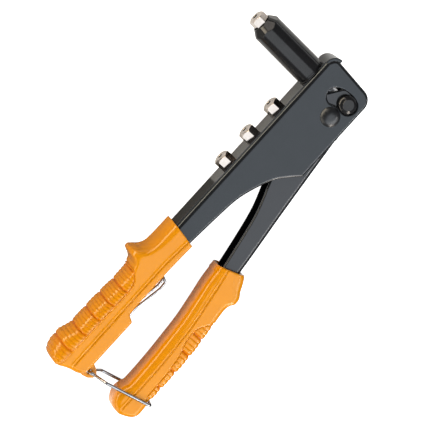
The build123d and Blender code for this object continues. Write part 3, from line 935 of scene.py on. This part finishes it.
def upper_grip():
    top = curve_through([
        (-230.2, 24.2), (-230.0, 26.1), (-229.6, 27.9), (-229.2, 29.2), (-228.5, 30.6),
        (-227.2, 32.0), (-223.9, 33.5), (-219.4, 34.4), (-213.8, 34.5), (-210.6, 33.4),
        (-206.2, 31.9), (-201.2, 31.5), (-191.8, 31.5), (-179.8, 31.2), (-167.2, 30.4),
        (-158.0, 30.2), (-154.6, 30.5), (-150.6, 31.4), (-148.8, 33.6), (-147.3, 36.8),
        (-146.4, 38.4), (-144.6, 38.5), (-142.6, 36.7), (-139.9, 33.4), (-137.0, 31.3),
        (-134.4, 30.5), (-128.0, 30.2), (-116.8, 30.2)])
    bottom = curve_through([
        (-230.2, 23.2), (-228.5, 19.4), (-226.9, 15.4), (-226.2, 12.4), (-225.7, 10.2),
        (-225.1, 8.6), (-223.9, 7.1), (-222.4, 6.1), (-220.3, 5.6), (-179.1, 5.6),
        (-178.6, 6.0), (-176.3, 9.8), (-175.6, 10.4), (-170.0, 10.7), (-142.0, 10.8),
        (-124.0, 10.4), (-116.8, 10.1)])
    shoulder = curve_through([
        (-229.9, 22.0), (-188.7, 21.6), (-168.0, 21.2), (-160.0, 22.6), (-155.0, 25.2),
        (-151.5, 26.8), (-144.5, 28.5), (-139.5, 26.2), (-133.2, 24.3), (-125.7, 23.0),
        (-116.8, 22.5)])
    end = curve_through([
        (5.6, -221.4), (7.1, -223.9), (8.6, -225.1), (10.2, -225.7), (12.4, -226.2),
        (15.4, -226.9), (19.4, -228.5), (23.2, -230.2), (24.6, -230.2), (26.1, -230.0),
        (27.9, -229.6), (29.2, -229.2), (30.6, -228.5), (32.0, -227.2), (33.4, -223.9),
        (35.0, -219.4)])
    line = curve_through([(-224.0, 15.0), (-141.5, 15.6), (-116.8, 14.2)])
    border = dense([(-236.0, 22.3), (-226.0, 22.1), (-188.7, 21.6), (-170.0, 21.1),
                    (-164.5, 21.2), (-160.5, 22.0), (-157.2, 24.0), (-154.9, 26.6),
                    (-153.2, 29.3), (-152.6, 33.0), (-152.5, 40.0)])
    splits = (-232.0, -216.6, -203.3, -190.7, -178.1, -166.1, -153.6)

    def width(x, y):
        return tail_width(UPPER_HALF, x - end(y))

    def relief(x, y, z):
        inside = distance_left(border, x, y)
        mask = step(0.2, 1.0, inside)
        bow = 0.9 * np.clip(1 - ((y - 27) / 6.0) ** 2, 0, 1)
        d = mask * lobes(x + bow, splits, 0.85, 0.42, 5)
        d -= 0.12 * step(-0.15, 0.3, inside)
        d -= 0.75 * hump(inside - 0.1, 0.45)
        fade = step(-224.5, -222.5, x) * (inside < -1)
        d += fade * 0.30 * hump(y - line(x) - 1.25, 0.60)
        d -= fade * 0.50 * hump(y - line(x), 0.45)
        return d

    grip = Grip(top=top, bottom=bottom, shoulder=shoulder, width=width, relief=relief,
                half=UPPER_HALF, corner=(1.9, 1.9), flat_top=1.0, power=2.35,
                counts=(8, 8, 44, 46, 3), mouth_x=-116.8, mouth_y=19.0, mouth_slope=0.195,
                mouth_fade=16.0, pocket=(7.75, 10.75), pocket_y=18.6,
                stations=stations([(-230.2, -229.8, 0.05), (-229.8, -228.6, 0.12),
                                   (-228.6, -224.0, 0.25), (-224.0, -134.0, 0.3),
                                   (-134.0, -116.8, 0.6)]))
    grip.build("upper_grip_moulding", "body", ["upper_grip"])


def eye_lug():
    """Plate under the upper grip's tail, with the hole the bail hangs in."""
    outer = rounded([(-225.2, 7.0), (-225.2, 3.6), (-224.3, -0.3), (-221.9, -3.4),
                     (-218.6, -3.4), (-216.1, -0.2), (-214.4, 3.4), (-213.0, 7.0)],
                    [0, 1, 3, 2.2, 2.2, 3, 1, 0], 8)
    hole = [(EYE[0] + EYE_HOLE_R * cos(a), EYE[1] + EYE_HOLE_R * sin(a))
            for a in np.linspace(2 * pi, 0, 40, endpoint=False)]
    mesh = plate("eye_lug", [outer, hole], LUG_HALF, 0.7)
    mesh.transform(BODY)
    settle("eye_lug", mesh, "body", ORANGE, ["upper_grip"], 40)


def plate(name, loops, half, rim):
    """Flat plate with rounded rims from closed outlines; holes run clockwise."""
    curve = bpy.data.curves.new(name + "_outline", "CURVE")
    curve.dimensions = "2D"
    curve.fill_mode = "BOTH"
    curve.extrude = half - rim
    curve.bevel_depth = rim
    curve.bevel_resolution = 3
    curve.offset = -rim
    for loop in loops:
        spline = curve.splines.new("POLY")
        spline.points.add(len(loop) - 1)
        for point, (x, y) in zip(spline.points, loop):
            point.co = (x, y, 0, 1)
        spline.use_cyclic_u = True
    carrier = bpy.data.objects.new(name + "_carrier", curve)
    bpy.context.scene.collection.objects.link(carrier)
    graph = bpy.context.evaluated_depsgraph_get()
    mesh = bpy.data.meshes.new_from_object(carrier.evaluated_get(graph))
    bpy.data.objects.remove(carrier)
    tidy = bmesh.new()
    tidy.from_mesh(mesh)
    bmesh.ops.remove_doubles(tidy, verts=tidy.verts, dist=1e-4)
    tidy.to_mesh(mesh)
    tidy.free()
    mesh.name = name
    mesh.materials.clear()
    return mesh


def lower_grip():
    top = curve_through([
        (-228.1, -28.9), (-228.0, -27.4), (-227.7, -25.4), (-226.9, -23.6), (-225.4, -22.0),
        (-222.0, -20.1), (-218.0, -19.4), (-213.0, -20.3), (-209.2, -21.6), (-206.1, -21.6),
        (-190.3, -21.2), (-174.6, -20.2), (-158.8, -18.9), (-143.0, -16.4),
        (-127.3, -13.7), (-113.75, -12.5)])
    bottom = curve_through([
        (-228.1, -29.9), (-227.6, -32.0), (-226.8, -34.3), (-225.6, -36.9), (-223.9, -39.0),
        (-221.0, -40.4), (-214.1, -40.1), (-209.0, -39.4), (-205.3, -40.1), (-189.5, -40.2),
        (-177.0, -40.0), (-164.4, -39.2), (-151.8, -37.7), (-146.1, -36.8), (-140.4, -35.9),
        (-134.5, -35.4), (-130.8, -36.1), (-128.6, -37.5), (-126.9, -38.3), (-124.7, -38.3),
        (-119.5, -35.5), (-113.75, -30.2)])
    shoulder = curve_through([
        (-228.1, -29.4), (-218.0, -25.4), (-206.0, -26.8), (-190.3, -26.6), (-174.6, -25.6),
        (-158.8, -24.0), (-143.0, -21.4), (-127.3, -18.4), (-113.75, -16.6)])
    end = curve_through([
        (-40.4, -221.0), (-39.0, -223.9), (-36.9, -225.6), (-34.3, -226.8), (-32.0, -227.6),
        (-29.9, -228.1), (-28.9, -228.1), (-27.4, -228.0), (-25.4, -227.7), (-23.6, -226.9),
        (-22.0, -225.4), (-20.1, -222.0), (-19.2, -218.0)])
    line = curve_through([(-224.0, -28.5), (-195.5, -28.3), (-157.7, -26.1),
                          (-135.6, -22.6), (-113.75, -18.6)])
    border = dense([(-211.3, -42.0), (-210.6, -37.4), (-208.5, -35.8), (-205.1, -35.0),
                    (-189.3, -34.6), (-183.0, -33.8), (-176.7, -33.0), (-171.6, -31.4),
                    (-165.3, -29.6), (-157.8, -28.9), (-152.7, -30.4), (-148.4, -33.3),
                    (-145.6, -35.6), (-144.6, -37.4), (-144.4, -42.0)])
    splits = (-211.0, -198.3, -184.9, -171.3, -158.1, -144.6)

    def width(x, y):
        wide = tail_width(LOWER_HALF, x - end(y))
        beyond = np.clip(((x + 126.4) * 0.70 - (y + 34.1) * 0.71), 0, 30)
        return wide - 0.22 * beyond * step(-129.0, -124.0, x)

    def relief(x, y, z):
        inside = -distance_left(border, x, y)
        mask = step(0.2, 1.0, inside)
        d = mask * lobes(x, splits, 1.0, 0.5, 4)
        d -= 0.10 * step(-0.15, 0.3, inside)
        d -= 0.65 * hump(inside - 0.1, 0.45)
        fade = step(-225.5, -223.5, x) * (z > 8)
        d += fade * 0.28 * hump(y - line(x) - 1.3, 0.60)
        d -= fade * 0.50 * hump(y - line(x), 0.45)
        return d

    grip = Grip(top=top, bottom=bottom, shoulder=shoulder, width=width, relief=relief,
                half=LOWER_HALF, corner=(4.2, 4.6), flat_top=6.4, power=2.0,
                counts=(10, 26, 46, 26, 6), mouth_x=-113.75, mouth_y=-20.5,
                mouth_slope=-0.34, mouth_fade=6.0, pocket=(8.1, 8.2), pocket_y=-20.3,
                stations=stations([(-228.1, -227.8, 0.04), (-227.8, -227.0, 0.12),
                                   (-227.0, -222.0, 0.25), (-222.0, -211.5, 0.5),
                                   (-211.5, -144.0, 0.28), (-144.0, -124.0, 0.35),
                                   (-124.0, -113.75, 0.5)]))
    grip.build("lower_grip_moulding", "lever", ["lower_grip"])


# ---------------------------------------------------------------- inner pieces

def inner_finish():
    """Procedural finishes for the CAD nodes that are shown as they are."""
    for name, material in (("jaw_case", STEEL), ("jaw_pusher", STEEL), ("jaw_1", STEEL),
                           ("jaw_2", STEEL), ("jaw_3", STEEL), ("pivot_sleeve", STEEL),
                           ("storage_bushes", STEEL)):
        mesh = frame["nodes"][name].data
        mesh.materials.clear()
        mesh.materials.append(material)


# ---------------------------------------------------------------- studio

def floor_sheet(name, corners, height, material):
    mesh = bpy.data.meshes.new(name)
    mesh.from_pydata([(x, y, height) for x, y in corners], [], [(0, 1, 2, 3)])
    mesh.materials.append(material)
    obj = bpy.data.objects.new(name, mesh)
    bpy.context.scene.collection.objects.link(obj)
    return obj


def floor():
    """A pale floor lit from below like a light table, seen only by the camera, and a
    dimmer one with two dark patches of painted floor shade, seen only by the part's gloss and
    shade."""
    h = FLOOR_HALF
    square = [(-h, -h), (h, -h), (h, h), (-h, h)]
    seen = floor_sheet("pale_floor", square, 0, pale_floor("pale_floor", 0.8))
    seen.visible_diffuse = seen.visible_glossy = seen.visible_shadow = False
    felt = floor_sheet("pale_floor_unlit", square, 0, pale_floor("pale_floor_unlit", 0.18))
    felt.visible_camera = felt.visible_shadow = False
    # painted shade: dark sheets where the part's shadow falls on the floor, seen only in its
    # gloss
    for name, paint, tone, corners in (
            ("shade_in_front", "shaded_floor", 0.05,
             [(-3, -0.514), (3, 0.410), (3, -3), (-3, -3)]),
            ("shade_behind_grip", "half_shaded_floor", 0.30,
             [(-2, -0.03), (0.02, 0.003), (0.02, 2), (-2, 2)])):
        shade = floor_sheet(name, corners, SHADE_HEIGHT, pale_floor(paint, 0.0, tone))
        shade.visible_camera = shade.visible_shadow = False


def lamp(name, place, aim, size, glow, color=(1, 1, 1)):
    """Flat rectangular lamp; glow is the brightness of its face."""
    light = bpy.data.lights.new(name, "AREA")
    light.shape = "RECTANGLE"
    light.size, light.size_y = size
    light.energy = glow * pi * size[0] * size[1]
    light.color = color
    obj = bpy.data.objects.new(name, light)
    obj.location = place
    obj.rotation_mode = "QUATERNION"
    obj.rotation_quaternion = (Vector(aim) - Vector(place)).to_track_quat("-Z", "Y")
    bpy.context.scene.collection.objects.link(obj)


def lights():
    world = bpy.data.worlds.new("studio")
    bpy.context.scene.world = world
    world.use_nodes = True
    background = world.node_tree.nodes["Background"]
    background.inputs["Color"].default_value = (0.97, 0.98, 1.0, 1)
    background.inputs["Strength"].default_value = 0.20
    lamp("overhead", (-0.55, -0.78, 1.2), (-0.55, -0.78, 0), (1.95, 1.3), 2.6,
         (0.90, 0.955, 1.0))
    lamp("front_bank", (-0.1, -1.2, 0.78), (0, 0, 0), (1.7, 0.62), 3.2, (1.0, 0.98, 0.96))
    lamp("front_line", (-0.1, -1.0, 0.95), (0, 0, 0), (1.9, 0.06), 24, (1.0, 0.98, 0.95))
    lamp("tip_light", (0.6, 0.95, 0.83), (0.1, 0.05, 0), (0.3, 0.3), 4.5, (1.0, 0.9, 0.82))
    lamp("front_spot", (-0.34, -0.86, 0.20), (0, 0, 0.01), (0.24, 0.15), 30, (1.0, 0.9, 0.8))
    lamp("high_back", (-0.15, 1.0, 0.42), (-0.05, 0, 0), (1.6, 0.3), 11.5, (1.0, 0.88, 0.68))
    lamp("left_strip", (-1.2, 0.25, 0.42), (0, 0, 0.01), (1.0, 0.25), 6.5, (1.0, 0.92, 0.78))
    lamp("right_strip", (1.3, -0.3, 0.12), (0, 0, 0.01), (1.2, 0.14), 2.5)


def camera():
    turn = Matrix.Rotation(LEAN, 3, "Z")
    towards = (turn @ Vector((0.0193, 0.3173, 1.0))).normalized()
    spine = turn @ Vector((1, 0, 0))
    along = (spine - towards * spine.dot(towards)).normalized()
    across = towards.cross(along)
    roll = radians(47.58)
    right = along * cos(roll) - across * sin(roll)
    up = along * sin(roll) + across * cos(roll)
    data = bpy.data.cameras.new("photo_view")
    data.sensor_width = 36
    data.lens = 252.7
    data.clip_start, data.clip_end = 0.1, 20
    obj = bpy.data.objects.new("photo_view", data)
    turned_axes = Matrix((right, up, towards)).transposed().to_4x4()
    place = BODY @ Vector((-94.17, 9.21, 0)) + towards * 1.9
    obj.matrix_world = Matrix.Translation(place) @ turned_axes
    bpy.context.scene.collection.objects.link(obj)
    bpy.context.scene.camera = obj


def studio():
    floor()
    lights()
    camera()
    view = bpy.context.scene.view_settings
    view.view_transform = "Standard"
    view.look = "None"
    view.exposure = 0.0


sheet_steel()
dome_rivet()
drive_pin()
rollers()
barrel()
collar()
nosepieces()
springs()
bail()
clip()
upper_grip()
eye_lug()
lower_grip()
inner_finish()
studio()
